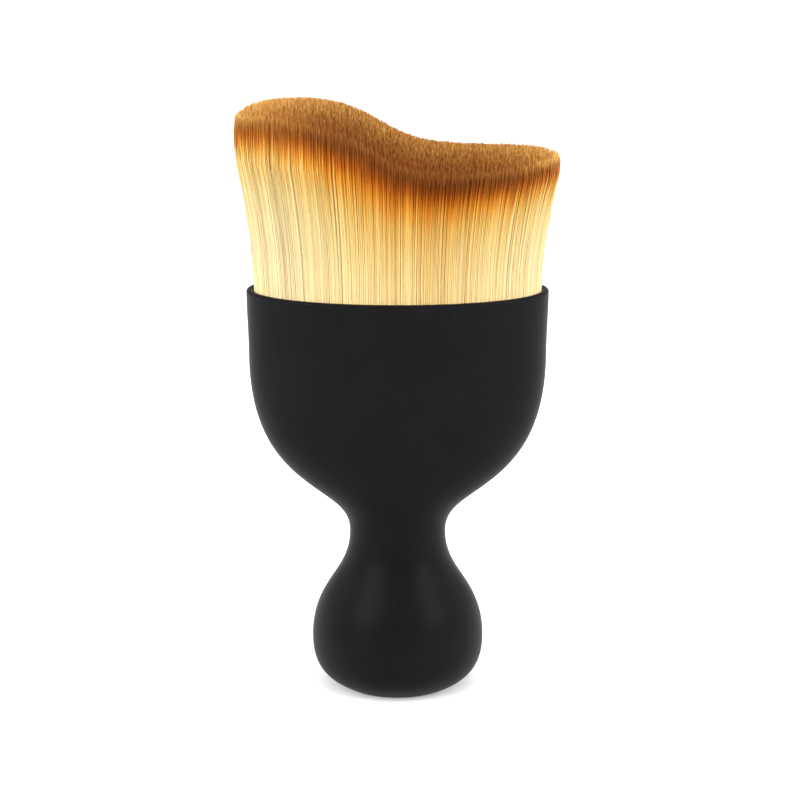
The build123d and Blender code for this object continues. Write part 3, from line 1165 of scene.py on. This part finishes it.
@dataclass
class Studio:
    """White paper, soft lights and the camera. Its lengths are in metres."""

    distance: float = 0.400         # of the camera in front of the brush
    height: float = 0.16584         # of the camera
    aim_height: float = 0.04616     # where it looks on the brush's axis
    side_step: float = 0.00037      # how far it stands to the side
    lens: float = 121.9             # in mm
    clip: tuple[float, float] = (0.01, 50.0)
    floor_size: float = 14.0
    surround: float = 0.45          # how bright the room is as light
    mirrored_front: float = 0.06    # how bright it is as a reflection, on the camera's side
    mirrored_back: float = 0.80     # and behind the brush, where the white sweep stands
    lights: tuple[Softbox, ...] = (
        Softbox("overhead", 0, 80, 0.60, (0.60, 0.60), 4.0),
        Softbox("front_left", -55, 32, 0.80, (0.80, 0.80), 8.5),
        Softbox("front_right", 55, 32, 0.80, (0.80, 0.80), 8.5),
        Softbox("side_left", -100, 4, 0.55, (0.50, 0.60), 1.2, True),
        Softbox("side_right", 100, 4, 0.55, (0.50, 0.60), 1.2, True),
        Softbox("back", 180, 35, 0.80, (0.80, 0.80), 4.5),
        Softbox("strip_left", -46, 30, 0.80, (0.22, 0.50), 3.4, True),
        Softbox("strip_right", 54, 30, 0.80, (0.26, 0.50), 3.4, True),
    )

    def build(self, paper: bpy.types.Material) -> None:
        """Builds the floor, the room, the lights, which aim at the brush's middle, and the camera.

        Args:
            paper: The floor's finish.
        """
        scene = bpy.context.scene
        scene.view_settings.view_transform = "Standard"
        scene.view_settings.look = "None"
        self.world(scene)
        half = self.floor_size / 2
        points = np.array([(-half, -half, 0), (half, -half, 0), (half, half, 0), (-half, half, 0)])
        floor = mesh_object("studio_floor", points, np.arange(4), np.array([4]), paper)
        floor.visible_diffuse = False
        floor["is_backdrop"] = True
        middle = Vector([(low + high) / 2 for low, high in zip(*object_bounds())])
        for light in self.lights:
            light.build(middle)
        data = bpy.data.cameras.new("camera")
        data.lens = self.lens
        data.clip_start, data.clip_end = self.clip
        camera = bpy.data.objects.new("camera", data)
        camera.location = (self.side_step, -self.distance, self.height)
        pitch = math.atan2(self.height - self.aim_height, self.distance)
        camera.rotation_euler = (math.pi / 2 - pitch, 0, 0)
        scene.collection.objects.link(camera)
        scene.camera = camera

    def world(self, scene: bpy.types.Scene) -> None:
        """Lights the room evenly, and mirrors it dark in front and bright behind the brush."""
        world = bpy.data.worlds.new("studio")
        world.use_nodes = True
        tree = world.node_tree
        tree.nodes.clear()
        path = add_node(tree, "ShaderNodeLightPath")
        direction = add_node(tree, "ShaderNodeTexCoord")
        toward = add_node(tree, "ShaderNodeSeparateXYZ",
                          links={"Vector": direction.outputs["Generated"]})
        mirrored = add_node(tree, "ShaderNodeMapRange",
                            {"From Min": -0.3, "From Max": 0.9, "To Min": self.mirrored_front,
                             "To Max": self.mirrored_back}, {"Value": toward.outputs["Y"]})
        light = add_node(tree, "ShaderNodeMix", {"data_type": "FLOAT", 2: self.surround},
                         {0: path.outputs["Is Glossy Ray"], 3: mirrored.outputs["Result"]})
        glow = add_node(tree, "ShaderNodeBackground", {"Color": linear("#ffffff")},
                        {"Strength": light.outputs[0]})
        add_node(tree, "ShaderNodeOutputWorld", links={"Surface": glow.outputs["Background"]})
        scene.world = world


def main() -> None:
    """Builds the studio and the brush, piece by piece."""
    logging.basicConfig(level=logging.INFO, format="%(name)s: %(message)s")
    Studio().build(StudioPaper().material())
    handle = GobletHandle()
    handle.build(SoftTouchPaint().material())
    filament = DyedFilament().material()
    head = HairHead(handle)
    head.build(filament)
    StrayHairs(head).build(filament)
    aluminium = DrawnMetal("drawn_aluminium", "#d4d6d8", "#a9acae", 0.35, (1, 1, 0.08))
    steel = DrawnMetal("turned_steel", "#b9babb", "#8c8d8e", 0.30, (0.1, 0.1, 1))
    HiddenParts({
        "bristle_cup": aluminium.material(),
        "resin_block": CuredResin().material(),
        "ballast_slug": steel.material(),
        "base_cap": MouldedABS().material(),
    }).build()


if __name__ == "__main__":
    main()
